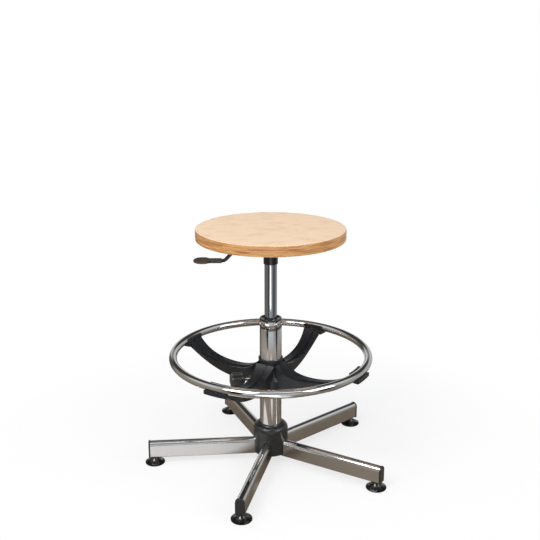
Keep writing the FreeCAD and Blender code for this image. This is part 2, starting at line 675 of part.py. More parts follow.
def make_piston_rod():
    """Rod with a spigot through the bearing, a shoulder on the upper race and a groove for the clip."""
    spigot, groove = "rod_spigot_diameter / 2", "rod_spigot_diameter / 2 - clip_groove"
    return turned("piston_rod", [("0", "rod_bottom"), (spigot, "rod_bottom"), (spigot, CLIP_BOTTOM),
                                 (groove, CLIP_BOTTOM), (groove, CLIP_TOP), (spigot, CLIP_TOP),
                                 (spigot, UPPER_RACE_TOP), ("rod_diameter / 2", UPPER_RACE_TOP),
                                 ("rod_diameter / 2", "piston_bottom"), (spigot, "piston_bottom"),
                                 (spigot, PISTON_TOP), ("0", PISTON_TOP)])


def make_piston():
    bore, outside = "rod_spigot_diameter / 2 + bore_fit", "inner_diameter / 2 - inner_wall - slide_fit"
    low = "piston_bottom + (piston_length - piston_groove) / 2"
    high, floor = f"{low} + piston_groove", f"{outside} - piston_groove_depth"
    return turned("piston", [(bore, "piston_bottom"), (outside, "piston_bottom"), (outside, low),
                             (floor, low), (floor, high), (outside, high),
                             (outside, PISTON_TOP), (bore, PISTON_TOP)])


def make_piston_ring():
    """Seal ring of round section in the piston's groove."""
    body = new_body("piston_ring")
    section = new_sketch(body, "XZ_Plane", "Section")
    radius = "piston_ring_section / 2"
    circle(section, f"inner_diameter / 2 - inner_wall - bore_fit - {radius}",
           "piston_bottom + piston_length / 2", radius)
    feature = body.newObject("PartDesign::Revolution", "Turned")
    feature.Profile = section
    feature.ReferenceAxis = (section, ["V_Axis"])
    feature.Angle = 360
    return body


# Stand tube and thrust bearing

def make_stand_tube():
    """Thick tube with a tapered foot that wedges into the base."""
    outside, bore = "stand_diameter / 2", STAND_BORE
    return turned("stand_tube", [(f"{bore} - stand_taper", "stand_bottom"),
                                 (f"{outside} - stand_taper", "stand_bottom"),
                                 (outside, STAND_TAPER_TOP), (outside, "stand_top"),
                                 (bore, "stand_top"), (bore, STAND_TAPER_TOP)])


def make_guide_bush():
    """Bush with a dished rim on the tube's end and a relieved middle."""
    bore, outside = "lift_diameter / 2 + slide_fit", f"{STAND_BORE} - bore_fit"
    waist = f"{outside} - bush_waist"
    low, low_land = "stand_top - bush_length", "stand_top - bush_length * 5 / 6"
    high_land = "stand_top - bush_length / 6"
    rim, top = "stand_diameter / 2", "stand_top + bush_rim"
    dish = f"{top} - bush_dish"
    return turned("guide_bush", [(bore, low), (outside, low), (outside, low_land), (waist, low_land),
                                 (waist, high_land), (outside, high_land),
                                 (outside, "stand_top"), (rim, "stand_top"),
                                 (rim, f"{top} - rim_rounding", ("rim_rounding", 1)),
                                 (f"{rim} - rim_rounding", top), (f"{rim} - rim_land", top),
                                 (f"{bore} + bush_dish", dish), (bore, dish)])


def make_tube_foot():
    """Floor of the stand tube, coned like the tube's foot."""
    rise = f"{STAND_FOOT_BORE} + stand_taper * foot_thickness / stand_taper_length - bore_fit"
    bore = "rod_spigot_diameter / 2 + slide_fit"
    return turned("tube_foot", [(bore, "stand_bottom"), (f"{STAND_FOOT_BORE} - bore_fit", "stand_bottom"),
                                (rise, FOOT_TOP), (bore, FOOT_TOP)])


def make_lower_race():
    return sleeve("lower_race", "rod_spigot_diameter / 2 + slide_fit", "race_diameter / 2",
                  FOOT_TOP, LOWER_RACE_TOP)


def make_upper_race():
    return sleeve("upper_race", "rod_spigot_diameter / 2 + bore_fit", "race_diameter / 2",
                  UPPER_RACE_BOTTOM, UPPER_RACE_TOP)


def make_ball_cage():
    """Flat cage and its balls, as a group."""
    middle, radius = number(BALL_HEIGHT), number("ball_diameter / 2")
    circle_radius, thickness = number("ball_circle / 2"), number("cage_thickness")
    base = App.Vector(0, 0, middle - thickness / 2)
    cage = Part.makeCylinder(number("race_diameter / 2 - rest_gap"), thickness, base)
    cage = cage.cut(Part.makeCylinder(number("rod_spigot_diameter / 2 + cage_thickness"), thickness, base))
    balls = []
    for k in range(BALLS):
        angle = 2 * math.pi * k / BALLS
        across = App.Vector(circle_radius * math.cos(angle), circle_radius * math.sin(angle), 0)
        balls.append(Part.makeSphere(radius, across + App.Vector(0, 0, middle)))
        cage = cage.cut(Part.makeCylinder(radius + number("bore_fit"), thickness, across + base))
    return computed("ball_cage", Part.makeCompound([cage] + balls))


def make_bumper():
    """Rubber stop with a rounded middle."""
    bore, outside = "rod_diameter / 2 + slide_fit", "bumper_diameter / 2"
    end = f"{outside} - bumper_bulge"
    low = f"{UPPER_RACE_TOP} + rest_gap"
    high = f"{low} + bumper_height"
    return turned("bumper", [(bore, low), (end, low, ("bumper_height", 1)), (end, high), (bore, high)])


def make_rod_clip():
    """Open clip in the rod's groove."""
    body = new_body("rod_clip")
    disc = new_sketch(body, "XY_Plane", "Disc", offset=f"{CLIP_BOTTOM} + seat_gap")
    circle(disc, "0", "0", "clip_diameter / 2")
    circle(disc, "0", "0", "rod_spigot_diameter / 2 - clip_groove + bore_fit")
    pad(body, disc, "clip_thickness - 2 * seat_gap", "DiscPad")
    mouth = new_sketch(body, "XY_Plane", "Mouth", offset=CLIP_BOTTOM)
    half = "(rod_spigot_diameter / 2 - clip_groove)"
    outline(mouth, [("0", f"-{half}"), ("clip_diameter", f"-{half}"), ("clip_diameter", half), ("0", half)])
    pocket(body, mouth, "clip_thickness", "MouthCut")
    return body


# Base

def tube_outline(sketch, grow):
    """Flat-sided outline of the leg with a half-round top, grown outward by an expression."""
    half = f"(leg_width / 2 + {grow})"
    low = f"(leg_bottom - ({grow}))"
    top = f"({LEG_ARCH} + {half})"
    outline(sketch, [(f"-{half}", low), (half, low), (half, LEG_ARCH, (half, 1)), ("0", top, (half, 1)),
                     (f"-{half}", LEG_ARCH)])


def runs_along_x(edge, height):
    """True for a straight edge along X at this height."""
    box = edge.BoundBox
    return max(box.YLength, box.ZLength, abs(box.ZMin - height)) < NEAR < box.XLength


def make_leg(k):
    """Chromed tube, hollow, with a hole below for the glide's stem."""
    body = new_body(f"leg_{k + 1}")
    profile = new_sketch(body, "YZ_Plane", "Profile", offset=LEG_START)
    tube_outline(profile, "0")
    pad(body, profile, f"leg_reach - {LEG_START}", "Tube")
    bottom = number("leg_bottom")
    fillet(body, "leg_corner", lambda edge: runs_along_x(edge, bottom), "LowerCorners")
    inside = new_sketch(body, "YZ_Plane", "Inside", offset=LEG_START)
    tube_outline(inside, "-leg_wall")
    pocket(body, inside, "leg_reach", "Bore")
    hole = new_sketch(body, "XY_Plane", "StemHole", offset="leg_bottom - margin")
    circle(hole, GLIDE_AT, "0", "stem_diameter / 2 + slide_fit")
    pocket(body, hole, "leg_wall + 2 * margin", "StemHoleCut")
    about_column(body, leg_angle(k))
    return body


def make_leg_cap(k):
    """End cap whose plug fills the leg's end and holds the glide's stem."""
    body = new_body(f"leg_cap_{k + 1}")
    face = new_sketch(body, "YZ_Plane", "Face", offset="leg_reach")
    tube_outline(face, "cap_overhang")
    pad(body, face, "cap_thickness", "FacePad")
    end = number("leg_reach + cap_thickness")
    fillet(body, "cap_rounding", lambda edge: abs(edge.BoundBox.XMin - end) < NEAR, "FaceRounding")
    plug = new_sketch(body, "YZ_Plane", "Plug", offset="leg_reach - plug_length")
    tube_outline(plug, "-leg_wall - plug_fit")
    pad(body, plug, "plug_length + margin", "PlugPad")
    bore = new_sketch(body, "XY_Plane", "StemBore", offset="leg_bottom")
    circle(bore, GLIDE_AT, "0", "stem_diameter / 2 + bore_fit")
    pocket(body, bore, "stem_length + rest_gap", "StemBoreCut")
    about_column(body, leg_angle(k))
    return body


def make_glide(k):
    """Trumpet-shaped glide with its stem, turned about its own axis and moved under the leg."""
    rim, neck, stem = "glide_diameter / 2", "glide_neck / 2", "stem_diameter / 2"
    top = "leg_bottom - rest_gap"
    stem_top = "leg_bottom + stem_length"
    body = turned(f"glide_{k + 1}", [("0", "0"), (f"{rim} - glide_foot_chamfer", "0"),
                                     (rim, "glide_foot_chamfer"), (rim, "glide_rim", ("glide_curve", -1)),
                                     (neck, "glide_neck_height"), (neck, top), (stem, top),
                                     (stem, stem_top), ("0", stem_top)])
    angle = math.radians(leg_angle(k))
    under_leg = App.Vector(math.cos(angle), math.sin(angle), 0) * number(GLIDE_AT)
    body.Placement = App.Placement(under_leg, App.Rotation())
    return body


def make_hub_core():
    """Steel sleeve with a bore tapered like the stand tube's foot."""
    def bore_at(height):
        narrowing = f"stand_taper * ({STAND_TAPER_TOP} - {height}) / stand_taper_length"
        return f"(stand_diameter / 2 - {narrowing} + bore_fit)"
    return turned("hub_core", [(bore_at("core_bottom"), "core_bottom"), ("core_diameter / 2", "core_bottom"),
                               ("core_diameter / 2", CORE_TOP), (bore_at(CORE_TOP), CORE_TOP)])


def make_hub_cover():
    """Thin domed moulding over the sleeve, slotted from below for the five legs."""
    outside, bore = "hub_diameter / 2", COLLAR_BORE
    shoulder = f"({HUB_TOP} - hub_dome)"
    crown = f"({outside} - hub_dome)"
    body = new_body("hub_cover")
    turn_profile(body, [(f"{outside} - hub_wall", "hub_bottom"), (outside, "hub_bottom"),
                        (outside, shoulder, ("hub_dome", 1)), (crown, HUB_TOP), (bore, HUB_TOP),
                        (bore, f"{HUB_TOP} - hub_wall"),
                        (crown, f"{HUB_TOP} - hub_wall", ("hub_dome - hub_wall", -1)),
                        (f"{outside} - hub_wall", shoulder)], "Dome")
    slot = new_sketch(body, "YZ_Plane", "LegSlot", offset="core_diameter / 2")
    half = "(leg_width / 2 + slide_fit)"
    below = "hub_bottom - margin"
    outline(slot, [(f"-{half}", below), (half, below), (half, LEG_ARCH, (half, 1)),
                   ("0", f"{LEG_ARCH} + {half}", (half, 1)), (f"-{half}", LEG_ARCH)])
    cut = pocket(body, slot, "hub_diameter / 2", "LegSlotCut")
    polar(body, [cut], "Z_Axis", LEGS, "LegSlots")
    about_column(body, leg_angle(0))
    return body


# Foot ring and its carrier

def make_foot_ring():
    """Closed ring of round tube with four small holes below for its screws."""
    body = new_body("foot_ring")
    section = new_sketch(body, "XZ_Plane", "TubeSection")
    circle(section, RING_RADIUS, "ring_height", "ring_tube / 2")
    circle(section, RING_RADIUS, "ring_height", "ring_tube / 2 - ring_wall")
    ring = body.newObject("PartDesign::Revolution", "Ring")
    ring.Profile = section
    ring.ReferenceAxis = (section, ["V_Axis"])
    ring.Angle = 360
    hole = new_sketch(body, "XY_Plane", "ScrewHole", offset="ring_height - ring_tube / 2 - margin")
    circle(hole, RING_RADIUS, "0", "ring_screw_diameter / 2 + bore_fit")
    cut = pocket(body, hole, "ring_wall + 2 * margin", "ScrewHoleCut")
    polar(body, [cut], "Z_Axis", ARMS, "ScrewHoles")
    about_column(body, number("arm_turn"))
    return body


def make_ring_screws():
    screw = screw_solid(number("ring_screw_diameter / 2"), number("ring_screw_length"),
                        number("ring_screw_head / 2"), number("screw_head_height"))
    solids = []
    for k in range(ARMS):
        copy = screw.copy()
        copy.translate(App.Vector(number(RING_RADIUS), 0, number(SADDLE_BOTTOM)))
        copy.rotate(App.Vector(0, 0, 0), App.Vector(0, 0, 1), number("arm_turn") + 360 / ARMS * k)
        solids.append(copy)
    return computed("ring_screws", Part.makeCompound(solids))


def arm_place(share):
    """Distance from the column axis at a share of the arm's length, from collar (0) to ring (1)."""
    end = f"({SADDLE_INSIDE} + saddle_wall / 2)"
    return f"({COLLAR_BORE} + ({end} - {COLLAR_BORE}) * {share:.4f})"


def arm_lines(share):
    """Top, underside and half widths of an arm, as expressions.

    The top sags between collar and ring and the underside rises steadily, as the casting does. Powers
    of the share keep each rise and flare close to the end that it belongs to.
    """
    near_ring, near_collar = share ** 6, (1 - share) ** 6
    top = (f"(ring_height - arm_valley + arm_rise * {share ** 4.3:.5f}"
           f" + arm_root_rise * {(1 - share) ** 8:.5f})")
    low = f"(ring_height - carrier_depth + arm_underside_rise * {share ** 2.9:.5f})"
    flare = f"arm_end_flare * {near_ring:.5f} + arm_root_flare * {near_collar:.5f}"
    return top, low, f"((arm_width + {flare}) / 2)", f"((arm_keel + {flare}) / 2)"


def arm_section(body, share, name):
    """Arm's outer section: a keel that widens upward, with a raised rib along the top."""
    top, low, half, keel = arm_lines(share)
    sketch = new_sketch(body, "YZ_Plane", name, offset=arm_place(share))
    ledge = f"({top} - rib_height)"
    outline(sketch, [(f"-{keel}", low), (keel, low), (half, ledge), ("rib_width / 2", ledge),
                     ("rib_width / 2", top), ("-rib_width / 2", top), ("-rib_width / 2", ledge),
                     (f"-{half}", ledge)])
    return sketch


def hollow_section(body, share, name):
    """Space inside the arm, open below."""
    top, low, half, keel = arm_lines(share)
    sketch = new_sketch(body, "YZ_Plane", name, offset=arm_place(share))
    roof, mouth = f"({top} - rib_height - arm_wall)", f"{low} - 3 * margin"
    inner_half, inner_keel = f"({half} - arm_wall)", f"({keel} - arm_wall)"
    outline(sketch, [(f"-{inner_keel}", mouth), (inner_keel, mouth),
                     (inner_half, roof), (f"-{inner_half}", roof)])
    return sketch


def loft(body, kind, sections, name):
    doc.recompute()
    feature = body.newObject(kind, name)
    feature.Profile = sections[0]
    feature.Sections = sections[1:]
    feature.Ruled = False
    body.Tip = feature
    doc.recompute()
    return feature


def make_ring_carrier():
    """Four-armed casting: a flared collar, sagging hollow arms and cradles that follow the ring."""
    body = new_body("ring_carrier")
    bore = COLLAR_BORE
    collar, foot = f"({bore} + collar_wall)", f"({bore} + collar_foot_wall)"
    turn_profile(body, [(bore, CARRIER_BOTTOM), (foot, CARRIER_BOTTOM),
                        (foot, f"{CARRIER_BOTTOM} + collar_foot_height", ("collar_curve", -1)),
                        (collar, f"{COLLAR_TOP} - collar_edge"), (collar, COLLAR_TOP),
                        (bore, COLLAR_TOP)], "Collar")

    shares = [0, 0.12, 0.28, 0.46, 0.64, 0.8, 0.92, 1]
    sections = [arm_section(body, share, f"Arm{i}") for i, share in enumerate(shares)]
    arm = loft(body, "PartDesign::AdditiveLoft", sections, "Arm")

    saddle = new_sketch(body, "XZ_Plane", "Saddle")
    wall_top, lip_top = "ring_height + saddle_wall_rise", "ring_height - saddle_lip_drop"
    outline(saddle, [(SADDLE_INSIDE, SADDLE_BOTTOM), (f"{SADDLE_OUTSIDE} - saddle_chamfer", SADDLE_BOTTOM),
                     (SADDLE_OUTSIDE, f"{SADDLE_BOTTOM} + saddle_chamfer"), (SADDLE_OUTSIDE, lip_top),
                     (RING_RADIUS, lip_top), (RING_RADIUS, wall_top), (SADDLE_INSIDE, wall_top)])
    cradle = body.newObject("PartDesign::Revolution", "Cradle")
    cradle.Profile = saddle
    cradle.ReferenceAxis = (saddle, ["V_Axis"])
    cradle.Midplane = True
    cradle.setExpression("Angle", bound("saddle_angle"))
    polar(body, [arm, cradle], "Z_Axis", ARMS, "Arms")

    shares = [0.2, 0.46, 0.7, 0.86]
    sections = [hollow_section(body, share, f"Hollow{i}") for i, share in enumerate(shares)]
    hollow = loft(body, "PartDesign::SubtractiveLoft", sections, "Hollow")
    polar(body, [hollow], "Z_Axis", ARMS, "Hollows")

    around = number("clamp_turn - arm_turn")
    boss = new_sketch(body, "YZ_Plane", "Boss", turn=around)
    circle(boss, "0", CLAMP_HEIGHT, "boss_diameter / 2")
    pad(body, boss, "boss_reach", "BossPad")
    below, above = f"{CARRIER_BOTTOM} - margin", f"{COLLAR_TOP} + margin"
    turn_profile(body, [("0", below), (bore, below), (bore, above), ("0", above)], "Bore", cut=True)

    section = new_sketch(body, "XZ_Plane", "Trough")
    circle(section, RING_RADIUS, "ring_height", TROUGH)
    groove = body.newObject("PartDesign::Groove", "TroughCut")
    groove.Profile = section
    groove.ReferenceAxis = (section, ["V_Axis"])
    groove.Angle = 360

    shoe = new_sketch(body, "YZ_Plane", "ShoeBore", turn=around)
    circle(shoe, "0", CLAMP_HEIGHT, "pad_diameter / 2 + slide_fit")
    pocket(body, shoe, f"{bore} + pad_room", "ShoeBoreCut")
    insert = new_sketch(body, "YZ_Plane", "InsertBore", offset=f"{bore} + pad_room", turn=around)
    circle(insert, "0", CLAMP_HEIGHT, "insert_diameter / 2 + bore_fit")
    pocket(body, insert, "boss_reach", "InsertBoreCut")

    hole = new_sketch(body, "XY_Plane", "RingScrewHole", offset=f"{SADDLE_BOTTOM} - margin")
    circle(hole, RING_RADIUS, "0", "ring_screw_diameter / 2 + bore_fit")
    cut = pocket(body, hole, "saddle_floor + 2 * margin", "RingScrewHoleCut")
    polar(body, [cut], "Z_Axis", ARMS, "RingScrewHoles")
    about_column(body, number("arm_turn"))
    return body


# Clamp

def along_clamp(body):
    """Move a piece that was turned about the X axis to the clamp's axis."""
    about_column(body, number("clamp_turn"), number(CLAMP_HEIGHT))
    return body


def make_clamp_pad():
    radius, back = "pad_diameter / 2", f"{PAD_FACE} + pad_thickness"
    body = turned("clamp_pad", [(PAD_FACE, "0"), (PAD_FACE, radius), (back, radius), (back, "0")],
                  axis="H_Axis")
    return along_clamp(body)


def make_clamp_insert():
    """Flanged bush, threaded on the real one, in the boss."""
    inner, outer = "stud_diameter / 2 + bore_fit", "insert_diameter / 2"
    flange, end = f"{outer} + insert_flange_width", "boss_reach + insert_flange"
    start = f"({COLLAR_BORE} + pad_room + rest_gap)"
    body = turned("clamp_insert", [(start, inner), (start, outer), ("boss_reach", outer),
                                   ("boss_reach", flange), (end, flange), (end, inner)], axis="H_Axis")
    return along_clamp(body)


def make_clamp_stud():
    radius = "stud_diameter / 2"
    body = turned("clamp_stud", [(STUD_START, "0"), (STUD_START, f"{radius} - stud_chamfer"),
                                 (f"{STUD_START} + stud_chamfer", radius), ("stud_reach", radius),
                                 ("stud_reach", "0")], axis="H_Axis")
    return along_clamp(body)


def make_clamp_knob():
    """Hand knob: a barrel with flutes between its lobes, a neck and a bore for the stud."""
    body = new_body("clamp_knob")
    neck = new_sketch(body, "YZ_Plane", "Neck", offset="knob_start")
    circle(neck, "0", "0", "knob_neck / 2")
    pad(body, neck, "knob_neck_length + margin", "NeckPad")
    barrel = new_sketch(body, "YZ_Plane", "Barrel", offset="knob_start + knob_neck_length")
    circle(barrel, "0", "0", "knob_diameter / 2")
    pad(body, barrel, "knob_length - knob_neck_length", "BarrelPad")
    radius = number("knob_diameter / 2")
    fillet(body, "knob_rounding", lambda edge: is_round(edge, radius), "BarrelRounding")
    flute = new_sketch(body, "YZ_Plane", "Flute", offset="knob_start + knob_neck_length - margin")
    circle(flute, "0", "flute_circle", "knob_flute / 2")
    cut = pocket(body, flute, "knob_length", "FluteCut")
    polar(body, [cut], "X_Axis", KNOB_LOBES, "Flutes")
    bore = new_sketch(body, "YZ_Plane", "StudBore", offset="knob_start - margin")
    circle(bore, "0", "0", "stud_diameter / 2 + bore_fit")
    pocket(body, bore, "stud_reach - knob_start + margin + rest_gap", "StudBoreCut")
    return along_clamp(body)


# The whole stool

make_seat_board()
make_seat_plate()
make_cone_socket()
make_seat_screws()
make_lever_pin()
make_lever_rod()
make_lever_paddle()
make_pressure_tube()
make_valve_body()
make_valve_pin()
make_inner_cylinder()
make_rod_guide()
make_rod_seal()
make_piston_rod()
make_piston()
make_piston_ring()
make_stand_tube()
make_guide_bush()
make_tube_foot()
make_lower_race()
make_upper_race()
make_ball_cage()
make_bumper()
make_rod_clip()
make_hub_core()
make_hub_cover()
for leg in range(LEGS):
    make_leg(leg)
    make_leg_cap(leg)
    make_glide(leg)
make_foot_ring()
make_ring_screws()
make_ring_carrier()
make_clamp_pad()
make_clamp_insert()
make_clamp_stud()
make_clamp_knob()
doc.recompute()

# Check and write every piece

for item in doc.Objects:
    if "Invalid" in item.State or "Error" in item.State:
        raise ValueError(f"{item.Label} did not compute: {item.State}")

os.makedirs("parts", exist_ok=True)
pieces = [item for item in doc.Objects if item.TypeId in ("PartDesign::Body", "Part::Feature")]
for piece in pieces:
    if piece.Shape.isNull() or not piece.Shape.isValid():
        raise ValueError(f"{piece.Label} has no valid shape")
    piece.Shape.exportStep(f"parts/{piece.Label}.step")
    print(f"{piece.Label:16s} solids {len(piece.Shape.Solids)} volume {piece.Shape.Volume / 1000:9.2f} cm3")
print(len(pieces), "pieces")
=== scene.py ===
# %% [markdown]
# # Dressing a machinist stool
#
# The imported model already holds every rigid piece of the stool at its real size: a plywood seat, a gas
# lift, a footrest ring in a four-armed casting, and a star base on floor glides. Its surfaces are bare.
# This lesson gives each of them the finish of the real thing, and remakes the few small pieces whose
# form is too fine for a solid model: the moulded paddle, the knob, the threaded stud and the screw heads.
#
# New pieces are surfaces worked out with numpy. A surface is a grid of points whose places are a formula
# of two numbers, so a whole piece is a few array expressions and needs no modelling by hand.

# %% Load the frame
import bpy
import numpy as np
from math import radians
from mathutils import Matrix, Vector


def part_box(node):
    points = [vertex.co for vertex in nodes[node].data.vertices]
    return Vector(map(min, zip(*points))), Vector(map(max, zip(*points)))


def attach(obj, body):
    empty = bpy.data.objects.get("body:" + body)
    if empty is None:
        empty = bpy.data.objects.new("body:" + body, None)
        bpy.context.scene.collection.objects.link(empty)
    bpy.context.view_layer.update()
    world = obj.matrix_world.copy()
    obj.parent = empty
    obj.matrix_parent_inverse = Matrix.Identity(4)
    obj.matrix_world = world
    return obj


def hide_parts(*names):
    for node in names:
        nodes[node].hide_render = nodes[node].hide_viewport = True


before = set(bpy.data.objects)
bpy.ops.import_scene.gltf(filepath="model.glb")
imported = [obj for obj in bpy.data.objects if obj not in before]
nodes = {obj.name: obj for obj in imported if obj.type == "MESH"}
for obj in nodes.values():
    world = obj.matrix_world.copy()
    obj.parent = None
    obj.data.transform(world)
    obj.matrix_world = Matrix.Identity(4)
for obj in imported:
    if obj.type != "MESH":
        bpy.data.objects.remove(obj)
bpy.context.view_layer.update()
print("pieces in the frame:", len(nodes))

# %% [markdown]
# ## Camera
#
# The photograph looks down on the stool from the front. Its angle was found by measuring the ellipses of
# seat, ring and glides against the stool's own sizes. A focal length is given to Blender in millimetres
# of a 36 mm wide sensor, so a focal length known in picture widths is multiplied by 36.

# %% Camera at the photograph's angle
FOCAL_IN_WIDTHS = 837.1 / 540
camera_data = bpy.data.cameras.new("photograph")
camera_data.sensor_width = 36
camera_data.lens = FOCAL_IN_WIDTHS * 36
camera = bpy.data.objects.new("photograph", camera_data)
camera.location = (0, -1.780, 0.9653)
camera.rotation_euler = (radians(90 - 15.886), 0, radians(0.05))
bpy.context.scene.collection.objects.link(camera)
bpy.context.scene.camera = camera
print("lens in millimetres:", round(camera_data.lens, 1))

# %% [markdown]
# ## Making materials from nodes
#
# Every finish below is a Principled shader fed by a few pattern nodes. The same handful of steps comes
# back each time: take the point on the object, stretch it, read a noise there, turn the noise into a
# colour, a roughness or a bump. Short helpers for those steps keep each finish readable. Patterns read
# Object coordinates, which are metres here, so a scale of 100 makes features about a centimetre wide.

# %% Helpers for node trees
class Nodes:
    """Short ways to build a node tree. Inputs are numbers, colours or other nodes' outputs."""

    def __init__(self, tree):
        self.tree = tree

    def connect(self, value, socket):
        if isinstance(value, bpy.types.NodeSocket):
            self.tree.links.new(value, socket)
        elif hasattr(value, "__len__") and len(value) == 3 and len(socket.default_value) == 4:
            socket.default_value = (*value, 1)
        else:
            socket.default_value = value

    def node(self, kind, **inputs):
        """New node with inputs named as on the node."""
        made = self.tree.nodes.new("ShaderNode" + kind)
        for name, value in inputs.items():
            self.connect(value, made.inputs[name.replace("_", " ")])
        return made

    def point(self, scale=(1, 1, 1), turn=(0, 0, 0)):
        """Object coordinates, turned and stretched."""
        where = self.node("TexCoord").outputs["Object"]
        return self.node("Mapping", Vector=where, Scale=scale, Rotation=turn).outputs[0]

    def noise(self, point, scale, detail=3.0, roughness=0.5):
        made = self.node("TexNoise", Vector=point, Scale=scale, Detail=detail, Roughness=roughness)
        return made.outputs[0]

    def ramp(self, value, *stops):
        """Colour or grey from a value: stops are (place, colour) with a colour or one number."""
        made = self.node("ValToRGB", Fac=value)
        elements = made.color_ramp.elements
        while len(elements) < len(stops):
            elements.new(0.5)
        for element, (place, colour) in zip(elements, stops):
            element.position = place
            element.color = (*colour, 1) if hasattr(colour, "__len__") else (colour, colour, colour, 1)
        return made.outputs["Color"]

    def mix(self, share, first, second):
        """Mix of two colours: the node's sockets 6 and 7 go in, its socket 2 comes out."""
        made = self.tree.nodes.new("ShaderNodeMix")
        made.data_type = "RGBA"
        for place, value in zip((0, 6, 7), (share, first, second)):
            self.connect(value, made.inputs[place])
        return made.outputs[2]

    def mix_shader(self, share, first, second):
        made = self.tree.nodes.new("ShaderNodeMixShader")
        for socket, value in zip(made.inputs, (share, first, second)):
            self.connect(value, socket)
        return made.outputs[0]

    def maths(self, operation, first, second=0.0, third=0.0):
        made = self.tree.nodes.new("ShaderNodeMath")
        made.operation = operation
        for socket, value in zip(made.inputs, (first, second, third)):
            self.connect(value, socket)
        return made.outputs[0]

    def bump(self, height, strength, distance, after=None):
        made = self.node("Bump", Height=height, Strength=strength, Distance=distance)
        if after is not None:
            self.tree.links.new(after, made.inputs["Normal"])
        return made.outputs[0]


class Finish(Nodes):
    """A material under construction: its node tree, its shader and the steps that feed it."""

    def __init__(self, name, colour=(0.5, 0.5, 0.5), roughness=0.5, metallic=0.0, **sockets):
        self.material = bpy.data.materials.new(name)
        self.material.use_nodes = True
        super().__init__(self.material.node_tree)
        self.shader = next(n for n in self.tree.nodes if n.type == "BSDF_PRINCIPLED")
        self.output = next(n for n in self.tree.nodes if n.type == "OUTPUT_MATERIAL")
        self.set("Base Color", (*colour, 1))
        self.set("Roughness", roughness)
        self.set("Metallic", metallic)
        for socket, value in sockets.items():
            self.set(socket.replace("_", " "), value)

    def set(self, socket, value):
        self.shader.inputs[socket].default_value = value

    def feed(self, output, socket):
        self.tree.links.new(output, self.shader.inputs[socket])

    def dress(self, *names):
        """Put the material on CAD nodes or on new pieces."""
        for name in names:
            piece = nodes[name] if isinstance(name, str) else name
            piece.data.materials.clear()
            piece.data.materials.append(self.material)


def linear(red, green, blue):
    """Colour given on screen (0 to 255) as the linear numbers that a shader takes."""
    values = np.array([red, green, blue]) / 255
    curved = ((values + 0.055) / 1.055) ** 2.4
    return tuple(np.where(values <= 0.04045, values / 12.92, curved).tolist())


print("a mid grey of 128 on screen is", round(linear(128, 128, 128)[0], 3))

# %% [markdown]
# ## Floor, backdrop and light
#
# The stool was photographed in a workshop and its surroundings were whitened afterwards: the background
# is pure white, yet the chrome still mirrors a brown floor with paler patches, dark gaps and bright
# windows. The type of a ray tells the two apart. Rays from the camera see white, and the floor adds only
# the shadow near the stool. Rays that leave a polished surface see the brown floor close to the stool,
# and further out a panorama of light and dark panels, which draws the streaks on tubes and legs. One of
# the lamps lies on the floor below the camera: the thin tube mirrors it as its bright line.

# %% Floor
def patch(tree, centre, half_size, edge=0.15):
    """1 inside an ellipse on the floor and 0 outside it; edge is the share over which it fades."""
    away = tree.node("VectorMath", Vector=tree.node("TexCoord").outputs["Object"])
    away.operation = "SUBTRACT"
    away.inputs[1].default_value = (*centre, 0)
    scaled = tree.node("VectorMath", Vector=away.outputs[0])
    scaled.operation = "DIVIDE"
    scaled.inputs[1].default_value = (*half_size, 1)
    length = tree.node("VectorMath", Vector=scaled.outputs[0])
    length.operation = "LENGTH"
    half = tree.maths("DIVIDE", length.outputs["Value"], 2.0)
    return tree.ramp(half, ((1 - edge) / 2, 1), ((1 + edge) / 2, 0))


reach = 6.0
corners = [(-reach, -reach, 0), (reach, -reach, 0), (reach, reach, 0), (-reach, reach, 0)]
floor_mesh = bpy.data.meshes.new("floor")
floor_mesh.from_pydata(corners, [], [(0, 1, 2, 3)])
floor = bpy.data.objects.new("floor", floor_mesh)
bpy.context.scene.collection.objects.link(floor)

ground = Finish("pale floor", roughness=0.7)
rays = ground.node("LightPath")
BROWN, PALE = (0.185, 0.146, 0.108), (0.69, 0.68, 0.67)
pale_places = ground.maths("MAXIMUM", patch(ground, (-0.17, -0.125), (0.15, 0.085)),
                           patch(ground, (0.07, -0.62), (0.09, 0.36)))
close = patch(ground, (0, 0), (0.66, 0.66), 0.1)
mirrored = ground.mix(close, (0.30, 0.27, 0.24), ground.mix(pale_places, BROWN, PALE))
ground.feed(ground.mix(rays.outputs["Is Glossy Ray"], (0.88, 0.87, 0.86), mirrored), "Base Color")
white = ground.node("Emission", Color=(1, 1, 1), Strength=1.0).outputs[0]
shadow_share = ground.maths("MULTIPLY", patch(ground, (0, 0), (0.55, 0.55), 0.4), 0.30)
whitened = ground.maths("SUBTRACT", 1.0, shadow_share)
lit = ground.mix_shader(ground.maths("MULTIPLY", whitened, rays.outputs["Is Camera Ray"]),
                        ground.shader.outputs[0], white)
far = ground.maths("SUBTRACT", 1.0, patch(ground, (0, 0), (0.8, 0.8), 0.1))
clear = ground.node("BsdfTransparent").outputs[0]
seen = ground.mix_shader(ground.maths("MULTIPLY", far, rays.outputs["Is Glossy Ray"]), lit, clear)
ground.tree.links.new(seen, ground.output.inputs["Surface"])
ground.dress(floor)
print("floor reaches", reach, "m each way")

# %% World of light and dark panels
world = bpy.data.worlds.new("studio")
bpy.context.scene.world = world
world.use_nodes = True
world.node_tree.nodes.clear()
sky = Nodes(world.node_tree)
direction = sky.node("SeparateXYZ", Vector=sky.node("TexCoord").outputs["Generated"])
to_camera = sky.maths("MULTIPLY", direction.outputs["Y"], -1.0)
around = sky.maths("ARCTAN2", direction.outputs["X"], to_camera)
turn = sky.maths("MULTIPLY_ADD", around, 0.5 / np.pi, 0.5)


def panels(*stops):
    """Stops of a panorama: 0 degrees is behind the camera, +90 to its right, 180 behind the stool."""
    return [((degrees + 180) / 360, colour) for degrees, colour in stops]


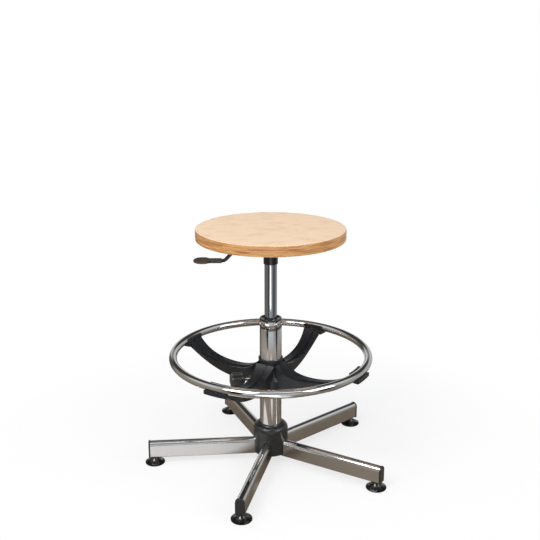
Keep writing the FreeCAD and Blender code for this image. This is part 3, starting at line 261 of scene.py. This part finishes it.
WARM, COOL, DARK = (0.30, 0.27, 0.23), (0.52, 0.58, 0.62), (0.02, 0.02, 0.02)
panorama = sky.ramp(turn, *panels(
    (-180, 0.62), (-160, 0.55), (-150, 0.08), (-136, 0.09), (-125, WARM), (-60, WARM), (-46, 0.20),
    (-42, DARK), (-32, DARK), (-28, COOL), (22, COOL), (34, 0.34), (49, 0.36), (54, 0.03), (64, 0.04),
    (72, 0.18), (84, 0.33), (124, 0.42), (180, 0.62)))
overhead = sky.ramp(turn, *panels(
    (-180, 0.04), (-125, 0.05), (-105, 0.62), (-70, 0.62), (-50, 0.30), (50, 0.30), (72, 0.62),
    (105, 0.62), (125, 0.05), (180, 0.04)))
upward = sky.ramp(direction.outputs["Z"], (0.30, 0), (0.40, 1))
zenith = sky.ramp(direction.outputs["Z"], (0.80, 0), (0.90, 1))
room = sky.mix(zenith, sky.mix(upward, panorama, overhead), (0.20, 0.21, 0.22))
types = sky.node("LightPath")
glossy = sky.mix_shader(types.outputs["Is Glossy Ray"],
                        sky.node("Background", Color=(0.93, 0.96, 1.0), Strength=0.60).outputs[0],
                        sky.node("Background", Color=room, Strength=1.0).outputs[0])
final = sky.mix_shader(types.outputs["Is Camera Ray"], glossy,
                       sky.node("Background", Color=(1, 1, 1), Strength=1.0).outputs[0])
sky.node("OutputWorld", Surface=final)
print("world has", len(sky.tree.nodes), "nodes")


# %% Soft panels of light
def soft_panel(name, place, width, length, watts, aim=(0, 0, 0.3)):
    """Area lamp at a place, turned to face a point."""
    data = bpy.data.lights.new(name, "AREA")
    data.shape = "RECTANGLE"
    data.energy = watts
    data.size, data.size_y = width, length
    lamp = bpy.data.objects.new(name, data)
    bpy.context.scene.collection.objects.link(lamp)
    away = np.array(place, float) - np.array(aim, float)
    tilt = np.arctan2(np.hypot(away[0], away[1]), away[2])
    heading = np.arctan2(away[0], -away[1])
    lamp.location = place
    lamp.rotation_euler = (float(tilt), 0, float(heading))


soft_panel("key_panel", (-1.3, -1.6, 2.3), 1.4, 1.4, 52)
soft_panel("fill_panel", (1.8, -1.2, 1.6), 1.3, 1.3, 18)
soft_panel("top_panel", (0.0, -1.3, 2.6), 2.4, 0.35, 5)
soft_panel("floor_strip", (-0.05, -1.50, 0.02), 0.50, 0.9, 4.0, aim=(-0.05, -1.50, 1.0))
bpy.context.scene.view_settings.view_transform = "Standard"
print("lamps: 4")

# %% [markdown]
# ## Plywood seat
#
# The board is a stack of thin birch plies under a pale veneer. The face is peeled from the log, so its
# figure is a faint, cloudy flame instead of straight lines. The rim shows the plies edge on: every other
# one is cut across its fibres and looks darker, and a clear lacquer turns all of them amber. One material
# can do both: the surface's own normal tells face from rim, and the height tells the plies apart.

# %% Plywood
PLY = 0.0019
plywood = Finish("birch plywood", roughness=0.42, Coat_Weight=0.25, Coat_Roughness=0.25)
facing = plywood.node("SeparateXYZ", Vector=plywood.node("TexCoord").outputs["Normal"]).outputs["Z"]
height = plywood.node("SeparateXYZ", Vector=plywood.node("TexCoord").outputs["Object"]).outputs["Z"]
is_face = plywood.ramp(plywood.maths("ABSOLUTE", facing), (0.55, 0), (0.9, 1))
flame = plywood.noise(plywood.point((24, 40, 24), (0, 0, radians(8))), 1.0, 5.0, 0.62)
fibre = plywood.noise(plywood.point((60, 900, 60), (0, 0, radians(8))), 1.0, 2.0)
face_colour = plywood.ramp(flame, (0.30, linear(230, 193, 156)), (0.46, linear(239, 207, 172)),
                           (0.58, linear(244, 212, 178)), (0.74, linear(236, 201, 162)))
face_colour = plywood.mix(plywood.ramp(fibre, (0.35, 0.0), (0.75, 0.14)), face_colour, linear(212, 172, 131))
stack = plywood.maths("PINGPONG", plywood.maths("DIVIDE", height, PLY), 1.0)
layers = plywood.ramp(stack, (0.0, linear(150, 93, 46)), (0.16, linear(190, 135, 76)),
                      (0.5, linear(203, 152, 92)), (0.9, linear(175, 120, 67)))
torn = plywood.noise(plywood.point((15, 15, 420)), 1.0, 5.0, 0.7)
rim_colour = plywood.mix(plywood.ramp(torn, (0.48, 0.0), (0.60, 0.8)), layers, linear(130, 76, 36))
pale = plywood.noise(plywood.point((20, 20, 360), (0, 0, 1)), 1.0, 4.0, 0.6)
rim_colour = plywood.mix(plywood.ramp(pale, (0.52, 0.0), (0.66, 0.7)), rim_colour, linear(218, 172, 112))
plywood.feed(plywood.mix(is_face, rim_colour, face_colour), "Base Color")
relief = plywood.maths("MULTIPLY_ADD", stack, 0.6, fibre)
plywood.feed(plywood.bump(relief, 0.25, 0.0003), "Normal")
plywood.dress("seat_board")
board_low, board_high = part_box("seat_board")
print("plies in the board:", round((board_high.z - board_low.z) / PLY))

# %% [markdown]
# ## Chrome
#
# Polished chrome has almost no colour of its own. What makes it look real is that it isn't perfect: the
# tube under the plating was ground, hands leave faint smears, and the metal is a little wavy. A very
# small bump bends the mirrored panels, and a cloudy roughness softens them here and there.

# %% Polished chrome
def chrome_finish(name, colour, roughness, wave, smear):
    """Plated tube: wave is the height of its slow unevenness, smear the extra roughness of handling."""
    finish = Finish(name, colour=colour, roughness=roughness, metallic=1.0)
    cloudy = finish.noise(finish.point(), 18.0, 4.0)
    finish.feed(finish.ramp(cloudy, (0.35, roughness), (0.75, roughness + smear)), "Roughness")
    long_wave = finish.noise(finish.point(), 9.0, 1.0)
    grit = finish.noise(finish.point(), 700.0, 2.0)
    rough = finish.bump(grit, 0.006, 0.0001)
    finish.feed(finish.bump(long_wave, 0.12, wave, rough), "Normal")
    dimmer = tuple(c * 0.93 for c in colour)
    tint = finish.ramp(finish.noise(finish.point(), 5.0), (0.3, colour), (0.7, dimmer))
    finish.feed(tint, "Base Color")
    return finish


chrome = chrome_finish("polished chrome", (0.82, 0.81, 0.80), 0.03, 0.0007, 0.04)
chrome.dress("stand_tube", "foot_ring", *[f"leg_{k}" for k in range(1, 6)])
ground_chrome = chrome_finish("ground chrome", (0.41, 0.43, 0.46), 0.05, 0.0006, 0.02)
ground_chrome.dress("pressure_tube", "piston_rod")
print("chromed pieces: 8")

# %% [markdown]
# ## Black pieces
#
# Black on one stool is several different surfaces. The casting has a satin powder coat with the slight
# orange peel of paint that flowed and set. The hub and the caps are moulded with a fine spark texture.
# Glides and bush are polished plastic. The paddle has a coarser grain for grip, and the
# lever and the seat's plate are painted steel. They differ in roughness and in the size of their bump,
# so each is one call of the same recipe with its own numbers.

# %% Black finishes
def moulded(name, colour, roughness, grain, depth, coat=0.0, worn=0.06):
    """Moulded or coated surface: grain is the texture's scale per metre, depth its height in metres."""
    finish = Finish(name, colour=colour, roughness=roughness, Coat_Weight=coat, Coat_Roughness=0.2)
    texture = finish.noise(finish.point(), grain, 3.0, 0.6)
    cloudy = finish.noise(finish.point(), 22.0, 3.0)
    finish.feed(finish.bump(texture, 0.5, depth), "Normal")
    finish.feed(finish.ramp(cloudy, (0.3, roughness - worn), (0.75, roughness + worn)), "Roughness")
    lighter = tuple(min(c * 1.35 + 0.003, 1) for c in colour)
    finish.feed(finish.mix(finish.ramp(cloudy, (0.35, 0), (0.8, 0.8)), colour, lighter), "Base Color")
    return finish


powder_coat = moulded("satin powder coat", linear(21, 24, 28), 0.40, 650, 0.00003, coat=0.2)
powder_coat.dress("ring_carrier")
spark_plastic = moulded("spark textured plastic", linear(32, 33, 33), 0.31, 1600, 0.00002, coat=0.4)
spark_plastic.dress("hub_cover", *[f"leg_cap_{k}" for k in range(1, 6)])
gloss_plastic = moulded("polished plastic", linear(16, 16, 16), 0.16, 300, 0.00003, coat=0.5, worn=0.04)
gloss_plastic.dress("guide_bush", *[f"glide_{k}" for k in range(1, 6)])
painted_steel = moulded("painted steel", linear(15, 15, 16), 0.32, 500, 0.00005, coat=0.2)
painted_steel.dress("seat_plate", "cone_socket", "lever_rod")
rubber = moulded("moulded rubber", linear(30, 30, 30), 0.8, 900, 0.0001)
rubber.dress("bumper", "rod_seal", "piston_ring")
grip_plastic = moulded("grained grip", linear(56, 51, 48), 0.46, 1500, 0.0001)
grip_plastic.dress("piston", "clamp_pad")
print("black finishes: 6")

# %% [markdown]
# ## Steel, brass and light alloy
#
# The small hardware is turned or plated. Turned metal has fine rings round its axis, so the noise is
# stretched far along one direction. Zinc plating is a little cloudy and bluish.

# %% Hardware
def turned_metal(name, colour, roughness, stretch):
    """Turned or plated hardware: stretch is how many rings or clouds fit in a metre each way."""
    finish = Finish(name, colour=colour, roughness=roughness, metallic=1.0)
    rings = finish.noise(finish.point(stretch), 1.0, 2.0)
    finish.feed(finish.ramp(rings, (0.3, roughness - 0.08), (0.7, roughness + 0.1)), "Roughness")
    finish.feed(finish.bump(rings, 0.2, 0.0001), "Normal")
    finish.feed(finish.ramp(rings, (0.3, colour), (0.7, tuple(c * 0.85 for c in colour))), "Base Color")
    return finish


steel = turned_metal("bright steel", (0.60, 0.60, 0.61), 0.28, (40, 40, 1500))
steel.dress("valve_pin", "inner_cylinder", "lower_race", "upper_race", "rod_clip", "ball_cage", "tube_foot",
            "hub_core", "lever_pin")
alloy = turned_metal("turned alloy", (0.66, 0.66, 0.67), 0.35, (40, 40, 1500))
alloy.dress("valve_body", "rod_guide")
brass = turned_metal("turned brass", (0.72, 0.53, 0.22), 0.3, (900, 900, 900))
brass.dress("clamp_insert")
zinc = turned_metal("bright zinc", (0.62, 0.63, 0.65), 0.25, (300, 300, 300))
print("hardware finishes: 4")

# %% [markdown]
# ## Surfaces from a grid
#
# A grid of points with rows and columns becomes a mesh when each point is joined to its neighbours. If
# the columns go round a shape, the last column joins the first again, and rows that shrink to one point
# close the ends. One function does this for every new piece below.

# %% Grid to mesh
def surface(name, grid, body, replaces=(), closed=True):
    """Piece from an array of points, rows by columns by 3; closed joins the last column to the first.

    Face (i, j) has corners (i, j), (i, j+1), (i+1, j+1), (i+1, j). First and last row may each be one
    repeated point: their copies are merged and the flat faces there become triangles.
    """
    rows, columns, _ = grid.shape
    index = np.arange(rows * columns).reshape(rows, columns)
    for row in (0, rows - 1):
        if np.allclose(grid[row], grid[row, 0]):
            index[row] = index[row, 0]
    right = np.roll(index, -1, axis=1) if closed else index[:, 1:]
    left = index if closed else index[:, :-1]
    faces = np.stack([left[:-1], right[:-1], right[1:], left[1:]], axis=-1).reshape(-1, 4)
    clean = [tuple(dict.fromkeys(face)) for face in faces.tolist()]
    mesh = bpy.data.meshes.new(name)
    mesh.from_pydata(grid.reshape(-1, 3).tolist(), [], [face for face in clean if len(face) > 2])
    mesh.polygons.foreach_set("use_smooth", np.ones(len(mesh.polygons), bool))
    mesh.update()
    piece = bpy.data.objects.new(name, mesh)
    bpy.context.scene.collection.objects.link(piece)
    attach(piece, body)
    if replaces:
        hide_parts(*replaces)
    print(f"{name}: {len(mesh.polygons)} faces")
    return piece


def bar(places, half_wide, half_thick, power, across, up, ring=48):
    """Bar whose section changes along its length, as a grid.

    At each place the section is the closed curve a = half_wide * sgn(cos t) * |cos t|^(2/power) and
    b = half_thick * sgn(sin t) * |sin t|^(2/power), laid out along the directions across and up. A
    power of 2 gives an ellipse and a larger one gives flatter sides.
    """
    t = np.linspace(0, 2 * np.pi, ring, endpoint=False)[None, :]
    exponent = 2 / np.asarray(power, float)[:, None]
    a = np.asarray(half_wide)[:, None] * np.sign(np.cos(t)) * np.abs(np.cos(t)) ** exponent
    b = np.asarray(half_thick)[:, None] * np.sign(np.sin(t)) * np.abs(np.sin(t)) ** exponent
    return places[:, None, :] + a[..., None] * across + b[..., None] * up


print("surface helpers ready")

# %% [markdown]
# ## Lever paddle
#
# The paddle is one nylon moulding. Its neck is a short boxy sleeve over the rod, and it spreads and thins
# into an oval blade for the fingertips. It could be cut from a block, but a bar whose section changes
# smoothly gives the flowing form of a moulding: width, thickness, squareness and a slight twist are four
# curves along its length.

# %% Lever paddle
NECK_HALF, BLADE_HALF_WIDE, BLADE_HALF_THICK = 0.00525, 0.0160, 0.0030
NECK_SHARE, SPREAD_SHARE = 0.34, 0.24
BLADE_TWIST = radians(11)
low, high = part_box("lever_paddle")
centre_height = (low.z + high.z) / 2
share = np.concatenate([[0], np.linspace(0, 1, 70), [1]])
along = high.x - share * (high.x - low.x)
blade = np.clip((share - NECK_SHARE) / SPREAD_SHARE, 0, 1)
blade = blade * blade * (3 - 2 * blade)
half_wide = NECK_HALF * (1 - blade) + BLADE_HALF_WIDE * blade
half_thick = NECK_HALF * (1 - blade) + BLADE_HALF_THICK * blade
tip = np.clip((share - 0.70) / 0.30, 0, 1)
half_wide = half_wide * np.sqrt(np.clip(1 - tip ** 2.2, 0, 1))
half_thick = half_thick * np.sqrt(np.clip(1 - tip ** 5, 0, 1))
heel = np.clip(share / 0.03, 0, 1) ** 0.5
half_wide, half_thick = half_wide * (0.86 + 0.14 * heel), half_thick * (0.86 + 0.14 * heel)
half_wide[[0, -1]] = half_thick[[0, -1]] = 0
places = np.stack([along, np.zeros_like(along), np.full_like(along, centre_height)], axis=1)
twist = BLADE_TWIST * blade[:, None, None]
across = np.cos(twist) * np.array([0, -1.0, 0]) - np.sin(twist) * np.array([0, 0, 1.0])
up = np.cos(twist) * np.array([0, 0, 1.0]) - np.sin(twist) * np.array([0, 1.0, 0])
grid = bar(places, half_wide, half_thick, 4.0 * (1 - blade) + 2.2 * blade, across, up)
paddle = surface("paddle", grid, "lever", ["lever_paddle"])
grip_plastic.dress(paddle)

# %% [markdown]
# ## Clamp knob and stud
#
# The knob is a barrel with shallow flutes for the fingers and a crowned end. Its radius is a formula of
# the angle: a constant less a rounded dip at each flute. The stud behind it is a screw thread: the radius
# rises and falls once for every turn and every pitch travelled, which is a helix without any sweeping.

# %% Axis of the clamp
CLAMP_TURN = radians(195)
outward = np.array([np.cos(CLAMP_TURN), np.sin(CLAMP_TURN), 0.0])
sideways = np.array([-np.sin(CLAMP_TURN), np.cos(CLAMP_TURN), 0.0])
upright = np.array([0.0, 0.0, 1.0])
knob_low, knob_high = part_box("clamp_knob")
clamp_height = (knob_low.z + knob_high.z) / 2


def about_clamp(reach_out, radius, angle):
    """Points at a distance along the clamp's axis, at a radius and an angle round it."""
    return (reach_out[..., None] * outward + (radius * np.cos(angle))[..., None] * sideways
            + (radius * np.sin(angle))[..., None] * upright + np.array([0, 0, clamp_height]))


# %% Clamp knob
FLUTES, FLUTE_DEPTH, FLUTE_WIDTH = 6, 0.0034, 0.30
columns = np.linspace(0, 2 * np.pi, 120, endpoint=False)
profile = np.array([(0.0620, 0.0), (0.0620, 0.0040), (0.0620, 0.0086), (0.0624, 0.0090), (0.0655, 0.0092),
                    (0.0662, 0.0150), (0.0665, 0.0166), (0.0674, 0.0176), (0.0700, 0.0180), (0.0780, 0.0180),
                    (0.0860, 0.0180), (0.0905, 0.0178), (0.0928, 0.0168), (0.0937, 0.0150), (0.0940, 0.0110),
                    (0.0938, 0.0104), (0.0938, 0.0050), (0.0938, 0.0)])
step = np.concatenate([[0], np.cumsum(np.hypot(*np.diff(profile, axis=0).T))])
fine = np.unique(np.concatenate([step, np.linspace(0, step[-1], 60)]))
reach_out, radius = np.interp(fine, step, profile[:, 0]), np.interp(fine, step, profile[:, 1])
dip = np.exp(-((1 - np.abs(np.cos(FLUTES / 2 * columns))) / FLUTE_WIDTH) ** 2)[None, :]
lobed = np.clip((radius - 0.0100) / 0.0070, 0, 1)[:, None]
knob_radius = radius[:, None] - FLUTE_DEPTH * dip * lobed
grid = about_clamp(reach_out[:, None], knob_radius, columns[None, :])
knob = surface("knob", grid, "clamp_knob", ["clamp_knob"])
spark_plastic.dress(knob)

# %% Threaded stud
PITCH, OUTER, DEPTH = 0.0015, 0.0040, 0.00070
THREAD_COLUMNS = 28
start, end = 0.0289, 0.0818
along = np.linspace(start, end, int((end - start) / PITCH * 8))
angle = np.linspace(0, 2 * np.pi, THREAD_COLUMNS, endpoint=False)
phase = (along[:, None] / PITCH + angle[None, :] / (2 * np.pi)) % 1.0
depth = DEPTH * np.clip(np.abs(phase * 2 - 1) * 1.25 - 0.12, 0, 1)
lead_in = np.clip((along - start) / 0.0012, 0, 1)[:, None]
thread = (OUTER - depth) * (0.75 + 0.25 * lead_in)
along = np.concatenate([[start], along, [end]])
closed_end = np.zeros((1, THREAD_COLUMNS))
thread = np.concatenate([closed_end, thread, closed_end])
grid = about_clamp(along[:, None], thread, angle[None, :])
stud = surface("stud", grid, "clamp_knob", ["clamp_stud"])
zinc.dress(stud)

# %% [markdown]
# ## Screws
#
# Eight pan-head screws hold the seat's plate and the ring. Seen from below, each head is a low dome with
# a cross pressed into it. The dome is a height over a disc: a flattened paraboloid, less a cross-shaped
# well whose walls are two soft steps, one for each bar of the cross.

# %% Cross-recessed heads
SCREW_COLUMNS = 96


def soft_step(distance, softness):
    """1 where the distance is below zero, 0 above it, with a soft change between."""
    return 1 / (1 + np.exp(distance / softness))


def screw_grid(centre, head_radius, head_height, shank_radius, shank_length, turn=0.3):
    """Screw that points up, as a grid: rows run from the head's middle over its rim and up the shank."""
    angle = np.linspace(0, 2 * np.pi, SCREW_COLUMNS, endpoint=False)[None, :]
    across = np.concatenate([np.linspace(0, 0.62, 34), np.linspace(0.66, 1.0, 10)])[:, None] * head_radius
    x, y = across * np.cos(angle), across * np.sin(angle)
    dome = head_height * (1 - (across / head_radius) ** 6 * 0.75) + 0 * angle
    bar_width = head_radius * 0.17
    softness = head_radius * 0.02
    in_x = soft_step(np.abs(x) - bar_width, softness)
    in_y = soft_step(np.abs(y) - bar_width, softness)
    inside = soft_step(across - head_radius * 0.52, softness)
    well = np.maximum(in_x, in_y) * inside * head_height * 0.62
    head = np.stack([x, y, -(dome - well)], axis=-1)
    rim = [(head_radius, 0.0), (shank_radius, 0.0), (shank_radius, shank_length), (0.0, shank_length)]
    rest = np.stack([np.stack([r * np.cos(angle[0]), r * np.sin(angle[0]), np.full(SCREW_COLUMNS, z)],
                              axis=-1) for r, z in rim])
    grid = np.concatenate([head, rest])
    c, s = np.cos(turn), np.sin(turn)
    x, y, z = np.moveaxis(grid, -1, 0)
    return np.stack([x * c - y * s, x * s + y * c, z], axis=-1) + np.asarray(centre)


def place_screws(kind, node, body, centres, *sizes):
    """Screws of one kind, each turned by another amount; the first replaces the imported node."""
    for number, centre in enumerate(centres, start=1):
        grid = screw_grid(centre, *sizes, turn=0.4 * number)
        zinc.dress(surface(f"{kind}_{number}", grid, body, [node] if number == 1 else ()))


seat_low, seat_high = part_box("seat_screws")
middle = (seat_high.x - 0.005)
head_plane = seat_low.z + 0.003
place_screws("seat_screw", "seat_screws", "seat",
             [(sx * middle, sy * middle, head_plane) for sx in (1, -1) for sy in (1, -1)],
             0.0050, 0.0030, 0.0025, 0.0180)
ring_low, ring_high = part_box("ring_screws")
arms = np.radians(60 + 90 * np.arange(4))
place_screws("ring_screw", "ring_screws", "footrest",
             [(0.221 * np.cos(a), 0.221 * np.sin(a), ring_low.z + 0.003) for a in arms],
             0.0040, 0.0030, 0.0020, 0.0090)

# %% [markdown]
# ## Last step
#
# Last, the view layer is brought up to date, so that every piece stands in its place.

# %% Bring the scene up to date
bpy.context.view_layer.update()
